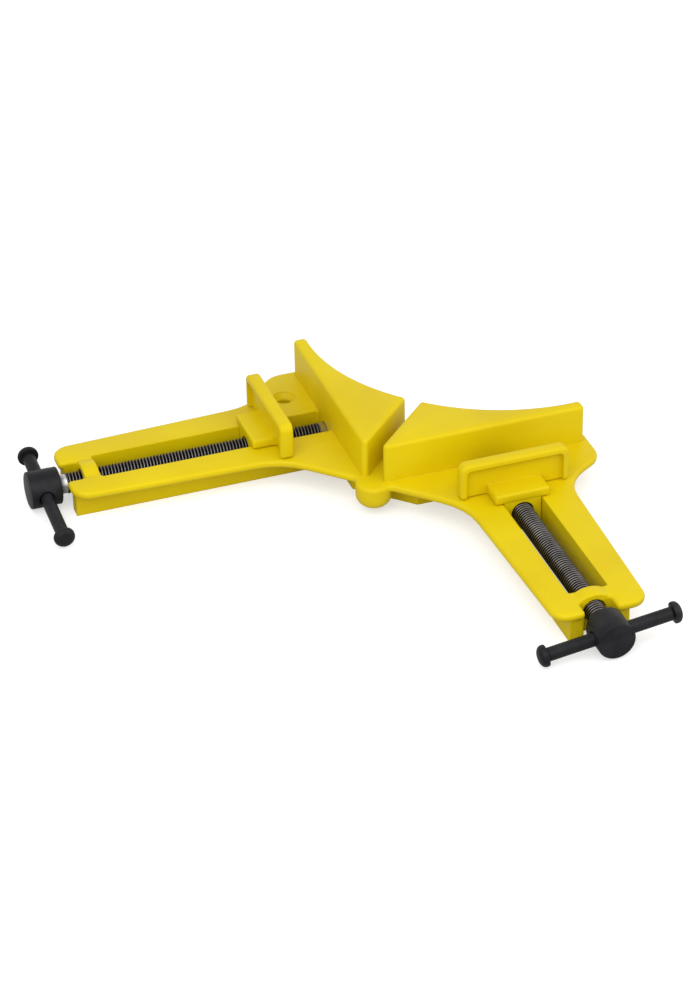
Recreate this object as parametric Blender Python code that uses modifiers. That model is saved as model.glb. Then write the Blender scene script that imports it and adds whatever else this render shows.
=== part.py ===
"""Corner clamp with two screws, for holding two pieces of a frame at a right angle.

Frame: the origin is the mitre corner of the two fixed faces, on top of the bed. +Z is up, the left arm
runs along -X and the right arm along -Y. The two sides mirror each other across the plane x = y.
"u" is the distance out along an arm, and "v" is the distance across it, from the other fixed face.
"""

import math

import bmesh
import bpy
from mathutils import Euler, Matrix, Vector

for thing in list(bpy.data.objects):
    bpy.data.objects.remove(thing, do_unlink=True)

MM = 0.001
GAP = 0.3 * MM
ROOT2 = math.sqrt(2.0)

# Heights, measured from the top of the bed
BASE_LOW = -12.85 * MM
PLATE_THICK = 3.0 * MM
BLOCK_HIGH = 15.55 * MM
JAW_HIGH = 14.45 * MM
SADDLE_HIGH = 3.95 * MM
SCREW_Z = -4.95 * MM
WALL = 3.0 * MM

# Fixed blocks: a straight face, a concave back and the mitre slit between them
FACE_LENGTH = 85.8 * MM
BLOCK_END = 5.2 * MM
BLOCK_THIN = 5.1 * MM
BACK_R = 74.3 * MM
BACK_U = -(BACK_R + BLOCK_THIN)
BACK_V = FACE_LENGTH - 3.8 * MM
SLIT_WIDE = 6.2 * MM
APEX_R = 1.45 * MM
BLOCK_EDGE = 1.2 * MM
BLOCK_CORNER = 1.5 * MM
LEDGE = 2.4 * MM

# Arms
ARM_V = 49.3 * MM
ARM_END = 103.1 * MM
ARM_CORNER_R = 6.5 * MM
FLANGE_INNER = 17.5 * MM
FLANGE_OUTER = 18.5 * MM
FLANGE_AT = 95.0 * MM
FLANGE_TAPER = 0.0358
SKIRT_OUT = 11.2 * MM
SKIRT_END = 101.4 * MM
SLOT_HALF = 7.6 * MM
SLOT_END = 90.2 * MM
BRIDGE_END = 96.3 * MM
NOTCH_HALF = 6.1 * MM
NOTCH_CORNER = 1.5 * MM
HUMP_HIGH = 1.6 * MM
HUMP_HALF = 5.5 * MM
PLATE_EDGE = 1.2 * MM

# Bed: its front edge at 45 degrees, the round nose at the corner and the tray under it
FRONT_SUM = 5.4 * MM
FRONT_R = 26.0 * MM
NOSE_AT = 3.0 * MM
NOSE_R = 6.8 * MM
NOSE_FILLET = 2.5 * MM
NOSE_LOW = -9.85 * MM
TRAY_SUM = 19.6 * MM
TRAY_FRONT = 0.3 * MM
RIB = 3.0 * MM

# Ears with a countersunk screw hole, beside the outer end of each fixed block
EAR_U = 9.2 * MM
EAR_V = FACE_LENGTH - 15.2 * MM
EAR_HOLE = 4.8 * MM
EAR_SINK = 8.6 * MM
EAR_BOSS = 12.5 * MM
EAR_TOP = FACE_LENGTH + LEDGE

# Screws
SCREW_OD = 7.8 * MM
THREAD_FROM = 2.3 * MM
THREAD_TO = 102.3 * MM
PLAIN_D = 7.2 * MM
JOURNAL_HOLE = 7.8 * MM
BRIDGE_HOLE = 8.8 * MM
JOURNAL_BOSS_D = 15.0 * MM
JOURNAL_BOSS_IN = 3.6 * MM
JOURNAL_IN = 7.0 * MM
HOLLOW_END = ARM_V + JOURNAL_BOSS_D / 2 + 4.9 * MM
GROOVE_D = 5.6 * MM
WASHER_D = 12.0 * MM
WASHER_THICK = 0.8 * MM
CLIP_D = 11.0 * MM
CLIP_THICK = 0.8 * MM

# Hubs, their pins and the tommy bars
HUB_D = 14.2 * MM
HUB_FROM = 105.0 * MM
HUB_TO = 116.8 * MM
HUB_BORE = 7.8 * MM
HUB_BORE_DEEP = 3.0 * MM
PIN_D = 1.6 * MM
PIN_HOLE = 2.2 * MM
PIN_LONG = 13.6 * MM
PIN_U = 106.6 * MM
PIN_TILT = {"left": 55.4, "right": 26.6}
BAR_U = 111.3 * MM
BAR_D = 5.0 * MM
BAR_HOLE = 5.8 * MM
BAR_TILT = {"left": 5.93, "right": 7.25}
CAP_AT = {"left": (21.0 * MM, -30.9 * MM), "right": (24.9 * MM, -26.0 * MM)}
CAP_D = 8.0 * MM
CAP_LONG = 3.3 * MM
SPIGOT_D = 3.0 * MM
SPIGOT_LONG = 2.4 * MM
CAP_NAMES = {"left": ("left_bar_far_cap", "left_bar_near_cap"),
             "right": ("right_bar_outer_cap", "right_bar_inner_cap")}

# Travelling jaws
JAW_FRONT = {"left": 19.3 * MM, "right": 17.0 * MM}
JAW_THICK = 5.2 * MM
JAW_HALF = 21.3 * MM
JAW_CORNER = 3.0 * MM
JAW_EDGE = 1.1 * MM
JAW_RIM = 2.4 * MM
RECESS_DEEP = 1.8 * MM
SADDLE_LONG = 7.5 * MM
SADDLE_HALF = 10.7 * MM
GUIDE_HALF = SLOT_HALF - GAP
GUIDE_LOW = -12.3 * MM
JAW_HOLE = 8.8 * MM
NUT_D = 9.8 * MM
NUT_LONG = 8.0 * MM
NUT_BORE = 8.4 * MM

parts = bpy.data.collections.new("corner_clamp")
bpy.context.scene.collection.children.link(parts)
tools = bpy.data.collections.new("cutters")
bpy.context.scene.collection.children.link(tools)


def material(name, colour, metallic, roughness):
    """A Principled material in one colour."""
    made = bpy.data.materials.new(name)
    made.use_nodes = True
    shader = made.node_tree.nodes["Principled BSDF"]
    shader.inputs["Base Color"].default_value = (*colour, 1.0)
    shader.inputs["Metallic"].default_value = metallic
    shader.inputs["Roughness"].default_value = roughness
    return made


YELLOW = (0.82, 0.60, 0.02)
STEEL = (0.62, 0.62, 0.60)
DARK = (0.05, 0.05, 0.055)


def place(side, u, v, z):
    """A point given by its distances along and across an arm."""
    return Vector((-u, v, z)) if side == "left" else Vector((v, -u, z))


def outward(side):
    """The turn that takes local +Z out along the arm."""
    if side == "left":
        return Euler((0.0, -math.pi / 2, 0.0))
    return Euler((math.pi / 2, 0.0, 0.0))


def across(side, tilt):
    """The turn that takes local +Z across the arm, its far end raised by the tilt in degrees."""
    if side == "left":
        return Euler((math.radians(tilt - 90.0), 0.0, 0.0))
    return Euler((0.0, math.radians(90.0 - tilt), 0.0))


def upright(side):
    """The turn that stands an outline up across the arm, its thickness running outward."""
    if side == "left":
        return Matrix(((0, 0, -1), (-1, 0, 0), (0, 1, 0))).to_euler()
    return Euler((math.pi / 2, 0.0, 0.0))


def arc(cx, cy, r, start, end, step=9.0):
    """Points along a circular arc between two angles in degrees, both ends included."""
    count = max(2, int(abs(end - start) / step) + 2)
    angles = [math.radians(start + (end - start) * i / (count - 1)) for i in range(count)]
    return [(cx + r * math.cos(a), cy + r * math.sin(a)) for a in angles]


def rounded(corners, step=14.0):
    """An outline with each corner (x, y, radius) turned into an arc."""
    out = []
    for i, (x, y, r) in enumerate(corners):
        here = Vector((x, y))
        back = (Vector(corners[i - 1][:2]) - here).normalized()
        ahead = (Vector(corners[(i + 1) % len(corners)][:2]) - here).normalized()
        opening = back.angle(ahead)
        turn = math.pi - opening
        if r <= 0.0 or turn < 0.05:
            out.append((x, y))
            continue
        reach = r / math.tan(opening / 2)
        centre = here + (back + ahead).normalized() * (r / math.sin(opening / 2))
        first = here + back * reach - centre
        last = here + ahead * reach - centre
        sweep = first.angle_signed(last)
        count = max(2, int(math.degrees(turn) / step) + 1)
        for k in range(count + 1):
            spot = centre + Matrix.Rotation(-sweep * k / count, 2) @ first
            out.append((spot.x, spot.y))
    return out


def swapped(points):
    """The same outline on the other side of the plane x = y."""
    return [(y, x) for x, y in reversed(points)]


def for_side(side, points):
    """An outline given as (u, v) points, put in the part's own x and y."""
    if side == "left":
        return [(-u, v) for u, v in points]
    return [(v, -u) for u, v in points]


def area(points):
    """Signed area, positive for an outline that runs anticlockwise."""
    return 0.5 * sum(a[0] * b[1] - b[0] * a[1] for a, b in zip(points, points[1:] + points[:1]))


def finish_mesh(obj, angle=35.0):
    """Smooth shading with sharp edges kept."""
    obj.data.shade_smooth()
    obj.data.set_sharp_from_angle(angle=math.radians(angle))


def as_mesh(curve_object, collection):
    """Replaces a curve object by a closed mesh of the same name and place."""
    bpy.context.view_layer.update()
    deps = bpy.context.evaluated_depsgraph_get()
    mesh = bpy.data.meshes.new_from_object(curve_object.evaluated_get(deps))
    shape = bmesh.new()
    shape.from_mesh(mesh)
    bmesh.ops.remove_doubles(shape, verts=shape.verts, dist=1e-6)
    bmesh.ops.recalc_face_normals(shape, faces=shape.faces)
    shape.to_mesh(mesh)
    shape.free()
    name = curve_object.name
    matrix = curve_object.matrix_world.copy()
    bpy.data.objects.remove(curve_object, do_unlink=True)
    made = bpy.data.objects.new(name, mesh)
    made.matrix_world = matrix
    collection.objects.link(made)
    return made


def slab(name, outline, low, high, edge=0.0, collection=None, place_at=None, turn=None, rounds=2):
    """A flat outline given thickness from low to high along its own Z, its edges rounded."""
    points = outline if area(outline) > 0 else outline[::-1]
    curve = bpy.data.curves.new(name, "CURVE")
    curve.dimensions = "2D"
    curve.fill_mode = "BOTH"
    curve.extrude = (high - low) / 2 - edge
    curve.bevel_depth = edge
    curve.bevel_resolution = rounds
    curve.offset = -edge
    spline = curve.splines.new("POLY")
    spline.points.add(len(points) - 1)
    for spot, (x, y) in zip(spline.points, points):
        spot.co = (x, y, 0.0, 1.0)
    spline.use_cyclic_u = True
    made = bpy.data.objects.new(name, curve)
    turn = turn or Euler((0.0, 0.0, 0.0))
    made.rotation_euler = turn
    made.location = (place_at or Vector()) + turn.to_matrix() @ Vector((0.0, 0.0, (low + high) / 2))
    (collection or tools).objects.link(made)
    return as_mesh(made, collection or tools)


def turned(name, profile, at, turn, collection=None, steps=32):
    """A profile of (radius, height) points, run down its outer side and turned about local Z."""
    mesh = bpy.data.meshes.new(name)
    closed = profile[0] == profile[-1]
    points = profile[:-1] if closed else profile
    edges = [(i, (i + 1) % len(points)) for i in range(len(points) - (0 if closed else 1))]
    mesh.from_pydata([(r, 0.0, h) for r, h in points], edges, [])
    made = bpy.data.objects.new(name, mesh)
    made.location = at
    made.rotation_euler = turn
    spin = made.modifiers.new("turn", "SCREW")
    spin.steps = steps
    spin.render_steps = steps
    spin.use_merge_vertices = True
    spin.merge_threshold = 0.00001
    spin.use_smooth_shade = True
    (collection or tools).objects.link(made)
    return made


def rod(name, radius, low, high, at, turn, sides=36):
    """A plain round cutter along local Z."""
    middle = at + turn.to_matrix() @ Vector((0.0, 0.0, (low + high) / 2))
    bpy.ops.mesh.primitive_cylinder_add(vertices=sides, radius=radius, depth=high - low, location=middle,
                                        rotation=turn)
    made = bpy.context.object
    made.name = name
    for holder in list(made.users_collection):
        holder.objects.unlink(made)
    tools.objects.link(made)
    return made


def block(name, side, u, v, z):
    """A plain box between two distances along the arm, across it and in height."""
    first = place(side, u[0], v[0], z[0])
    last = place(side, u[1], v[1], z[1])
    bpy.ops.mesh.primitive_cube_add(size=1.0, location=(first + last) / 2)
    made = bpy.context.object
    made.name = name
    made.scale = [abs(b - a) for a, b in zip(first, last)]
    bpy.ops.object.transform_apply(location=False, rotation=False, scale=True)
    for holder in list(made.users_collection):
        holder.objects.unlink(made)
    tools.objects.link(made)
    return made


def combine(target, other, operation):
    """A Boolean with a guide object, which stays out of the finished part."""
    other.hide_render = True
    other.display_type = "WIRE"
    step = target.modifiers.new(other.name, "BOOLEAN")
    step.operation = operation
    step.solver = "EXACT"
    step.object = other


def paint(obj, colour, metallic, roughness):
    """Gives an object its own material."""
    obj.data.materials.clear()
    obj.data.materials.append(material(obj.name + "_finish", colour, metallic, roughness))


def flange(u, outer):
    """Distance of the flange's edge across the arm, wider toward the bed."""
    half = (FLANGE_OUTER if outer else FLANGE_INNER) + FLANGE_TAPER * (FLANGE_AT - u)
    return ARM_V + half if outer else ARM_V - half


def back_points(radius, v_from, stop):
    """The concave back as (u, v) points, from one distance v toward the mitre until the test fails."""
    points = []
    start = math.asin((v_from - BACK_V) / radius)
    for i in range(45):
        angle = start - math.radians(3.2) * i
        u = BACK_U + radius * math.cos(angle)
        v = BACK_V + radius * math.sin(angle)
        if stop(u, v):
            break
        points.append((u, v))
    return points


def back_meets(radius, gap):
    """Where the concave back meets the line v = -u + gap beside the mitre."""
    low, high = -60.0 * MM, 0.0
    for _ in range(60):
        u = (low + high) / 2
        inside = math.hypot(u - BACK_U, gap - u - BACK_V) < radius
        low, high = (u, high) if inside else (low, u)
    return u, gap - u


def half_plate():
    """The left half of the bed, arm and ear outline, from the nose out and back to the mitre."""
    behind = FRONT_SUM / ROOT2 - NOSE_AT * ROOT2
    reach = math.sqrt((NOSE_R + NOSE_FILLET) ** 2 - (NOSE_FILLET - behind) ** 2)
    lean = math.degrees(math.atan2(NOSE_FILLET - behind, reach))
    nose = arc(NOSE_AT, NOSE_AT, NOSE_R, 225.0, 135.0 + lean, 12.0)
    along = Vector((-1.0, 1.0)) / ROOT2
    out = Vector((-1.0, -1.0)) / ROOT2
    centre = Vector((NOSE_AT, NOSE_AT)) + along * reach + out * (NOSE_FILLET - behind)
    fillet = arc(centre.x, centre.y, NOSE_FILLET, -45.0 + lean, 45.0, 15.0)
    corner_u = (FLANGE_AT * FLANGE_TAPER * -1.0 + ARM_V - FLANGE_INNER - FRONT_SUM) / (1.0 - FLANGE_TAPER)
    corner_v = flange(corner_u, False)
    far = [
        (-corner_u, corner_v, FRONT_R),
        (-ARM_END, flange(ARM_END, False), ARM_CORNER_R),
        (-ARM_END, ARM_V - NOTCH_HALF, 1.35 * MM),
        (-BRIDGE_END, ARM_V - NOTCH_HALF, NOTCH_CORNER),
        (-BRIDGE_END, ARM_V + NOTCH_HALF, NOTCH_CORNER),
        (-ARM_END, ARM_V + NOTCH_HALF, 1.35 * MM),
        (-ARM_END, flange(ARM_END, True), ARM_CORNER_R),
        (-21.0 * MM, flange(21.0 * MM, True), 20.0 * MM),
        (-10.4 * MM, EAR_TOP, 9.0 * MM),
        (BLOCK_END + LEDGE, EAR_TOP, 2.2 * MM),
    ]
    back = back_points(BACK_R - LEDGE, EAR_TOP - 3.0 * MM, lambda u, v: v < -u + 1.6 * MM)
    meet_u, meet_v = back_meets(BACK_R - LEDGE, 0.0)
    closing = [(-u, v, 0.0) for u, v in back] + [(-meet_u, meet_v, 0.0)]
    lead = [(nose[0][0], nose[0][1], 0.0)] + [(x, y, 0.0) for x, y in nose[1:] + fillet]
    return rounded(lead + far + closing)


def block_outline(inset, v_end):
    """The fixed block's outline as x, y points, or that of the hollow inside it."""
    gap = SLIT_WIDE / ROOT2 + inset * ROOT2
    back = back_points(BACK_R + inset, v_end - (1.0 if inset else 3.0) * MM, lambda u, v: v < -u + gap + 3.2 * MM)
    meet_u, meet_v = back_meets(BACK_R + inset, gap)
    end_u = BACK_U + math.sqrt((BACK_R + inset) ** 2 - (v_end - BACK_V) ** 2)
    corner = 0.8 * MM if inset else BLOCK_CORNER
    points = [(-end_u, v_end, corner)] + [(-u, v, 0.0) for u, v in back]
    points.append((-meet_u, meet_v, 1.4 * MM))
    if inset:
        cut = TRAY_SUM + inset * ROOT2 + 0.3 * MM
        points.append(((cut - gap) / 2, (cut + gap) / 2, corner))
        points.append((inset, cut - inset, corner))
    else:
        points.append((0.0, gap, APEX_R))
    points.append((inset, v_end, corner))
    return rounded(points)


def tray_outline(inset, v_end):
    """The tray under the fixed blocks, or the left hollow inside it, as x, y points."""
    front = TRAY_FRONT + inset
    cut = TRAY_SUM + inset * ROOT2
    gap = RIB / 2 * ROOT2 if inset else 0.0
    back = back_points(BACK_R + inset, v_end - (1.0 if inset else 3.0) * MM, lambda u, v: v < -u + gap + 3.2 * MM)
    meet_u, meet_v = back_meets(BACK_R + inset, gap)
    end_u = BACK_U + math.sqrt((BACK_R + inset) ** 2 - (v_end - BACK_V) ** 2)
    points = [((cut - gap) / 2, (cut + gap) / 2, 0.0)]
    points.append((front, cut - front, 1.0 * MM))
    points.append((front, v_end, 0.8 * MM))
    points.append((-end_u, v_end, 0.8 * MM))
    points += [(-u, v, 0.0) for u, v in back]
    points.append((-meet_u, meet_v, 0.0))
    return rounded(points)


# The body: bed, arms and ears from one outline, then what stands on it and hangs under it
half = half_plate()
body = slab("body", half + swapped(half)[1:-1], -PLATE_THICK, 0.0, PLATE_EDGE, parts)
paint(body, YELLOW, 0.0, 0.35)

tray_half = tray_outline(0.0, FACE_LENGTH)
tray = slab("tray", tray_half + swapped(tray_half)[1:-1], BASE_LOW, -1.5 * MM)
combine(body, tray, "UNION")

nose_profile = [(0.0, 0.0), (NOSE_R - PLATE_EDGE, 0.0)]
nose_profile += arc(NOSE_R - PLATE_EDGE, -PLATE_EDGE, PLATE_EDGE, 90.0, 0.0, 30.0)[1:]
nose_profile += arc(NOSE_R - 4.5 * MM, NOSE_LOW + 4.5 * MM, 4.5 * MM, 0.0, -90.0, 22.0)
nose_profile.append((0.0, NOSE_LOW))
nose = turned("nose", nose_profile, Vector((NOSE_AT, NOSE_AT, 0.0)), Euler((0.0, 0.0, 0.0)), steps=32)
combine(body, nose, "UNION")

hump_r = (HUMP_HALF ** 2 + HUMP_HIGH ** 2) / (2 * HUMP_HIGH)
hump_open = math.degrees(math.asin(HUMP_HALF / hump_r))
hump_outline = arc(0.0, HUMP_HIGH - hump_r, hump_r, 90.0 - hump_open - 3.0, 90.0 + hump_open + 3.0, 6.0)
hump_outline += [(-HUMP_HALF, -2.0 * MM), (HUMP_HALF, -2.0 * MM)]

for side in ("left", "right"):
    outline = block_outline(0.0, FACE_LENGTH)
    outline = outline if side == "left" else swapped(outline)
    fixed = slab(side + "_fixed_block", outline, 0.3 * MM - PLATE_THICK, BLOCK_HIGH, BLOCK_EDGE)
    combine(body, fixed, "UNION")
    skirt = block(side + "_skirt", side, (-3.0 * MM, SKIRT_END), (ARM_V - SKIRT_OUT, ARM_V + SKIRT_OUT),
                  (BASE_LOW, -1.4 * MM))
    combine(body, skirt, "UNION")
    boss = rod(side + "_ear_boss", EAR_BOSS / 2, BASE_LOW, -1.3 * MM, place(side, EAR_U, EAR_V, 0.0),
               Euler((0.0, 0.0, 0.0)))
    combine(body, boss, "UNION")
    hump = slab(side + "_hump", hump_outline, 0.1 * MM, BRIDGE_END - SLOT_END - 0.1 * MM, 0.5 * MM,
                place_at=place(side, SLOT_END, ARM_V, 0.0), turn=upright(side))
    combine(body, hump, "UNION")

for side in ("left", "right"):
    hollow = tray_outline(WALL, HOLLOW_END)
    hollow = hollow if side == "left" else swapped(hollow)
    combine(body, slab(side + "_tray_hollow", hollow, BASE_LOW - 2.0 * MM, -PLATE_THICK), "DIFFERENCE")
    hollow = block_outline(WALL, HOLLOW_END)
    hollow = hollow if side == "left" else swapped(hollow)
    combine(body, slab(side + "_block_hollow", hollow, -PLATE_THICK - 2.0 * MM, BLOCK_HIGH - WALL), "DIFFERENCE")

for side in ("left", "right"):
    boss = rod(side + "_journal_boss", JOURNAL_BOSS_D / 2, -JOURNAL_BOSS_IN, -1.0 * MM,
               place(side, 0.0, ARM_V, SCREW_Z), outward(side))
    combine(body, boss, "UNION")
    slot_corner = 1.0 * MM
    slot = slab(side + "_slot", rounded([(*p, slot_corner) for p in for_side(side, [
        (0.0, ARM_V - SLOT_HALF), (SLOT_END, ARM_V - SLOT_HALF), (SLOT_END, ARM_V + SLOT_HALF),
        (0.0, ARM_V + SLOT_HALF)])]), BASE_LOW - 2.0 * MM, 2.0 * MM)
    combine(body, slot, "DIFFERENCE")
    notch_half = NOTCH_HALF + 0.03 * MM
    notch_in = BRIDGE_END - 0.03 * MM
    notch = slab(side + "_notch", rounded([(*p, r) for p, r in zip(for_side(side, [
        (notch_in, ARM_V - notch_half), (ARM_END + 5.0 * MM, ARM_V - notch_half),
        (ARM_END + 5.0 * MM, ARM_V + notch_half), (notch_in, ARM_V + notch_half)]),
        (NOTCH_CORNER, 0.0, 0.0, NOTCH_CORNER))]), BASE_LOW - 2.0 * MM, -1.25 * MM)
    combine(body, notch, "DIFFERENCE")
    hole = rod(side + "_journal_hole", JOURNAL_HOLE / 2, -JOURNAL_BOSS_IN - 2.0 * MM, 2.0 * MM,
               place(side, 0.0, ARM_V, SCREW_Z), outward(side))
    combine(body, hole, "DIFFERENCE")
    hole = rod(side + "_bridge_hole", BRIDGE_HOLE / 2, SLOT_END - 2.0 * MM, BRIDGE_END + 3.0 * MM,
               place(side, 0.0, ARM_V, SCREW_Z), outward(side))
    combine(body, hole, "DIFFERENCE")
    sink = (EAR_SINK - EAR_HOLE) / 2
    hole = turned(side + "_ear_hole", [
        (0.0, 1.0 * MM), (EAR_SINK / 2, 1.0 * MM), (EAR_SINK / 2, -0.3 * MM),
        (EAR_HOLE / 2, -0.3 * MM - sink), (EAR_HOLE / 2, BASE_LOW - 1.0 * MM), (0.0, BASE_LOW - 1.0 * MM)],
        place(side, EAR_U, EAR_V, 0.0), Euler((0.0, 0.0, 0.0)), steps=28)
    combine(body, hole, "DIFFERENCE")

finish_mesh(body)


def make_jaw(side):
    """The travelling jaw: an upright plate, a saddle behind it and a guide block down in the slot."""
    front = JAW_FRONT[side]
    axis = bpy.data.objects.new(side + "_jaw_axis", None)
    axis.location = place(side, front, ARM_V, SCREW_Z)
    parts.objects.link(axis)
    jaw = slab(side + "_jaw", rounded([
        (-JAW_HALF, GAP, 1.3 * MM), (JAW_HALF, GAP, 1.3 * MM), (JAW_HALF, JAW_HIGH, JAW_CORNER),
        (-JAW_HALF, JAW_HIGH, JAW_CORNER)]), 0.0, JAW_THICK, JAW_EDGE, parts,
        place(side, front, ARM_V, 0.0), upright(side))
    back = front + JAW_THICK + SADDLE_LONG
    saddle = slab(side + "_saddle", rounded([(*p, 1.1 * MM) for p in for_side(side, [
        (front + JAW_THICK - 2.9 * MM, ARM_V - SADDLE_HALF), (back, ARM_V - SADDLE_HALF),
        (back, ARM_V + SADDLE_HALF), (front + JAW_THICK - 2.9 * MM, ARM_V + SADDLE_HALF)])]),
        GAP, SADDLE_HIGH, 0.8 * MM)
    combine(jaw, saddle, "UNION")
    guide = block(side + "_guide", side, (front + 0.3 * MM, back - 0.2 * MM),
                  (ARM_V - GUIDE_HALF, ARM_V + GUIDE_HALF), (GUIDE_LOW, 1.5 * MM))
    combine(jaw, guide, "UNION")
    recess = slab(side + "_recess", rounded([
        (-JAW_HALF + JAW_RIM, SADDLE_HIGH, 0.8 * MM), (JAW_HALF - JAW_RIM, SADDLE_HIGH, 0.8 * MM),
        (JAW_HALF - JAW_RIM, JAW_HIGH - JAW_RIM, 1.6 * MM), (-JAW_HALF + JAW_RIM, JAW_HIGH - JAW_RIM, 1.6 * MM)]),
        JAW_THICK - RECESS_DEEP, JAW_THICK + 2.0 * MM, 0.0, None, place(side, front, ARM_V, 0.0), upright(side))
    combine(jaw, recess, "DIFFERENCE")
    hole = rod(side + "_jaw_hole", JAW_HOLE / 2, -2.0 * MM, back - front + 2.0 * MM,
               place(side, front, ARM_V, SCREW_Z), outward(side))
    combine(jaw, hole, "DIFFERENCE")
    pocket = rod(side + "_nut_pocket", NUT_D / 2 + GAP, -2.0 * MM, NUT_LONG + 3 * GAP,
                 place(side, front, ARM_V, SCREW_Z), outward(side))
    combine(jaw, pocket, "DIFFERENCE")
    finish_mesh(jaw)
    paint(jaw, YELLOW, 0.0, 0.35)
    nut = turned(side + "_jaw_nut", [
        (NUT_BORE / 2, NUT_LONG + 2 * GAP), (NUT_D / 2, NUT_LONG + 2 * GAP), (NUT_D / 2, 2 * GAP),
        (NUT_BORE / 2, 2 * GAP), (NUT_BORE / 2, NUT_LONG + 2 * GAP)],
        place(side, front, ARM_V, SCREW_Z), outward(side), parts)
    paint(nut, STEEL, 1.0, 0.35)
    for piece in (jaw, nut):
        bpy.context.view_layer.update()
        kept = piece.matrix_world.copy()
        piece.parent = axis
        piece.matrix_parent_inverse = axis.matrix_world.inverted()
        piece.matrix_world = kept


def make_screw(side):
    """The captive screw, its thrust washer and clip behind the fixed face, and the hub on its end."""
    centre = place(side, 0.0, ARM_V, SCREW_Z)
    turn = outward(side)
    washer_in = JOURNAL_BOSS_IN + GAP
    clip_in = washer_in + WASHER_THICK + GAP
    groove = (clip_in - 0.3 * MM, clip_in + CLIP_THICK + 0.3 * MM)
    spigot_end = HUB_FROM + HUB_BORE_DEEP - GAP
    screw = turned(side + "_screw", [
        (0.0, spigot_end), (PLAIN_D / 2 - 0.4 * MM, spigot_end), (PLAIN_D / 2, spigot_end - 0.4 * MM),
        (PLAIN_D / 2, THREAD_TO), (SCREW_OD / 2 - 0.2 * MM, THREAD_TO),
        (SCREW_OD / 2, THREAD_TO - 0.5 * MM), (SCREW_OD / 2, THREAD_FROM + 0.5 * MM),
        (PLAIN_D / 2, THREAD_FROM), (PLAIN_D / 2, -groove[0]), (GROOVE_D / 2, -groove[0]),
        (GROOVE_D / 2, -groove[1]), (PLAIN_D / 2, -groove[1]), (PLAIN_D / 2, 0.4 * MM - JOURNAL_IN),
        (PLAIN_D / 2 - 0.4 * MM, -JOURNAL_IN), (0.0, -JOURNAL_IN)], centre, turn, parts)
    paint(screw, STEEL, 1.0, 0.3)
    tilt = PIN_TILT[side]
    pin_at = place(side, PIN_U, ARM_V, SCREW_Z)
    hole = rod(side + "_pin_hole", PIN_HOLE / 2, -10.0 * MM, 10.0 * MM, pin_at, across(side, tilt), 16)
    combine(screw, hole, "DIFFERENCE")
    washer = turned(side + "_thrust_washer", [
        (PLAIN_D / 2 + GAP, -washer_in), (WASHER_D / 2, -washer_in),
        (WASHER_D / 2, -washer_in - WASHER_THICK), (PLAIN_D / 2 + GAP, -washer_in - WASHER_THICK),
        (PLAIN_D / 2 + GAP, -washer_in)], centre, turn, parts)
    paint(washer, STEEL, 1.0, 0.35)
    gap_half = 38.0
    inner = GROOVE_D / 2 + GAP
    ring = arc(0.0, 0.0, CLIP_D / 2, gap_half - 90.0, 270.0 - gap_half, 10.0)
    ring += arc(0.0, 0.0, inner, 270.0 - gap_half, gap_half - 90.0, 10.0)
    clip = slab(side + "_retaining_clip", ring, -clip_in - CLIP_THICK, -clip_in, 0.0, parts, centre, turn)
    paint(clip, DARK, 1.0, 0.4)
    edge = 0.5 * MM
    hub = turned(side + "_hub", [
        (0.0, HUB_TO), (HUB_D / 2 - edge, HUB_TO), (HUB_D / 2 - edge * 0.3, HUB_TO - edge * 0.3),
        (HUB_D / 2, HUB_TO - edge), (HUB_D / 2, HUB_FROM + edge), (HUB_D / 2 - edge * 0.3, HUB_FROM + edge * 0.3),
        (HUB_D / 2 - edge, HUB_FROM), (HUB_BORE / 2, HUB_FROM), (HUB_BORE / 2, HUB_FROM + HUB_BORE_DEEP),
        (0.0, HUB_FROM + HUB_BORE_DEEP)], centre, turn, parts)
    bar_at = place(side, BAR_U, ARM_V, SCREW_Z)
    cross = rod(side + "_cross_hole", BAR_HOLE / 2, -10.0 * MM, 10.0 * MM, bar_at,
                across(side, BAR_TILT[side]), 28)
    combine(hub, cross, "DIFFERENCE")
    hole = rod(side + "_hub_pin_hole", PIN_HOLE / 2, -10.0 * MM, 10.0 * MM, pin_at, across(side, tilt), 16)
    combine(hub, hole, "DIFFERENCE")
    paint(hub, DARK, 0.6, 0.45)
    pin = turned(side + "_hub_pin", [
        (0.0, PIN_LONG / 2), (PIN_D / 2 - 0.2 * MM, PIN_LONG / 2), (PIN_D / 2, PIN_LONG / 2 - 0.2 * MM),
        (PIN_D / 2, 0.2 * MM - PIN_LONG / 2), (PIN_D / 2 - 0.2 * MM, -PIN_LONG / 2), (0.0, -PIN_LONG / 2)],
        pin_at, across(side, tilt), parts, 16)
    paint(pin, STEEL, 1.0, 0.35)
    for piece in (screw, washer, clip, hub, pin):
        finish_mesh(piece)


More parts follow.
